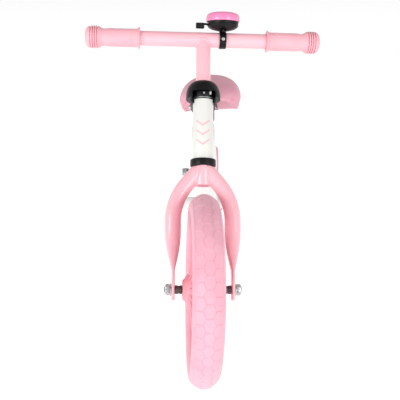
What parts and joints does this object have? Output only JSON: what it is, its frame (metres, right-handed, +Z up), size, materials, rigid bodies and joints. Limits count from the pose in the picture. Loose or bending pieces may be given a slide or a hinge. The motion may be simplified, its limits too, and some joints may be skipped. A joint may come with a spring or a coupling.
{
  "type": "balance bike",
  "caption": "Child's balance bike: steel frame and fork, foam-tyred wheels, T handlebar with a bell, and a padded saddle on an adjustable post.",
  "frame": {"origin": "on the ground, midway between the wheels and across the bike", "axes": "+Z up; the bike faces -Y; +X is to the right as seen from the front, the rider's left"},
  "size_m": [0.3742, 0.8414, 0.552],
  "materials": {
    "pink_paint": "gloss powder coat",
    "white_paint": "gloss powder coat",
    "grip_rubber": "matte",
    "tyre_foam": "closed-cell foam, slight sheen",
    "rim_plastic": "satin",
    "saddle_vinyl": "smooth vinyl",
    "black_plastic": "satin",
    "bell_paint": "gloss enamel",
    "zinc_steel": "zinc plated",
    "chrome_steel": "polished"
  },
  "bodies": {
    "frame": {"head_tube": "white_paint", "main_beam": "white_paint", "seat_tube": "white_paint", "rear_yoke": "white_paint", "rear_stay_left": "white_paint", "rear_stay_right": "white_paint", "lower_headset_cup": "black_plastic", "lower_headset_bearing": "zinc_steel", "upper_headset_cup": "black_plastic", "upper_headset_bearing": "zinc_steel", "seat_clamp_collar": "black_plastic", "seat_clamp_skewer": "zinc_steel", "seat_clamp_nut": "zinc_steel", "seat_clamp_spacer": "zinc_steel", "rear_axle": "zinc_steel", "rear_spacer_left": "zinc_steel", "rear_spacer_right": "zinc_steel", "rear_washer_left": "zinc_steel", "rear_washer_right": "zinc_steel", "rear_nut_left": "zinc_steel", "rear_nut_right": "zinc_steel"},
    "fork": {"fork_steerer": "pink_paint", "fork_leg_left": "pink_paint", "fork_leg_right": "pink_paint", "stem_clamp_collar": "black_plastic", "stem_clamp_screw": "zinc_steel", "dome_cover": "black_plastic", "front_axle": "zinc_steel", "front_spacer_left": "zinc_steel", "front_spacer_right": "zinc_steel", "front_washer_left": "zinc_steel", "front_washer_right": "zinc_steel", "front_nut_left": "zinc_steel", "front_nut_right": "zinc_steel"},
    "front_wheel": {"front_tyre": "tyre_foam", "front_rim": "rim_plastic", "front_bearing_left": "zinc_steel", "front_bearing_right": "zinc_steel"},
    "rear_wheel": {"rear_tyre": "tyre_foam", "rear_rim": "rim_plastic", "rear_bearing_left": "zinc_steel", "rear_bearing_right": "zinc_steel"},
    "handlebar": {"handlebar": "pink_paint", "grip_left": "grip_rubber", "grip_right": "grip_rubber", "bell_clamp_band": "black_plastic", "bell_clamp_screw": "zinc_steel", "bell_base": "black_plastic", "bell_dome": "bell_paint", "bell_spring": "zinc_steel"},
    "bell_lever": {"bell_lever": "black_plastic"},
    "bell_gear": {"bell_gear": "zinc_steel"},
    "seat": {"seat_post": "chrome_steel", "saddle_clamp": "black_plastic", "saddle_clamp_bolt": "zinc_steel", "saddle_clamp_nut": "zinc_steel", "saddle_clamp_disc": "zinc_steel", "saddle_base": "black_plastic", "saddle_cover": "saddle_vinyl"},
    "seat_lever": {"seat_clamp_lever": "zinc_steel"}
  },
  "joints": [
    {"name": "steering", "type": "hinge", "parent": "frame", "child": "fork", "pos_m": [0, -0.26727, 0.143], "axis": [0, 0.3633, 0.9317], "range_deg": [-50.4, 39.6]},
    {"name": "front_wheel_spin", "type": "hinge", "parent": "fork", "child": "front_wheel", "pos_m": [0.00094, -0.27796, 0.14298], "axis": [0.9956, 0.0877, -0.0342], "continuous": true},
    {"name": "rear_wheel_spin", "type": "hinge", "parent": "frame", "child": "rear_wheel", "pos_m": [0, 0.278, 0.143], "axis": [1, 0, 0], "continuous": true},
    {"name": "handlebar_height", "type": "slide", "parent": "fork", "child": "handlebar", "axis": [0, 0.3633, 0.9317], "range_m": [-0.015, 0.04]},
    {"name": "seat_height", "type": "slide", "parent": "frame", "child": "seat", "axis": [0, 0.4067, 0.9135], "range_m": [-0.03, 0.04]},
    {"name": "seat_clamp_lever", "type": "hinge", "parent": "frame", "child": "seat_lever", "pos_m": [-0.047, 0.14577, 0.24358], "axis": [0, 0.5, 0.866], "range_deg": [0, 170]},
    {"name": "bell_lever", "type": "hinge", "parent": "handlebar", "child": "bell_lever", "pos_m": [0.01546, -0.11323, 0.53185], "axis": [0.0259, 0.0935, 0.9953], "range_deg": [0, 20], "stiffness_Nm_per_rad": 0.05, "springref_deg": -5.73},
    {"name": "bell_gear", "type": "hinge", "parent": "handlebar", "child": "bell_gear", "pos_m": [0.03111, -0.11985, 0.53206], "axis": [0.0259, 0.0935, 0.9953], "range_deg": [-46, 1]}
  ],
  "couplings": [
    {"joint": "bell_gear", "follows": "bell_lever", "ratio": -2.2549}
  ]
}
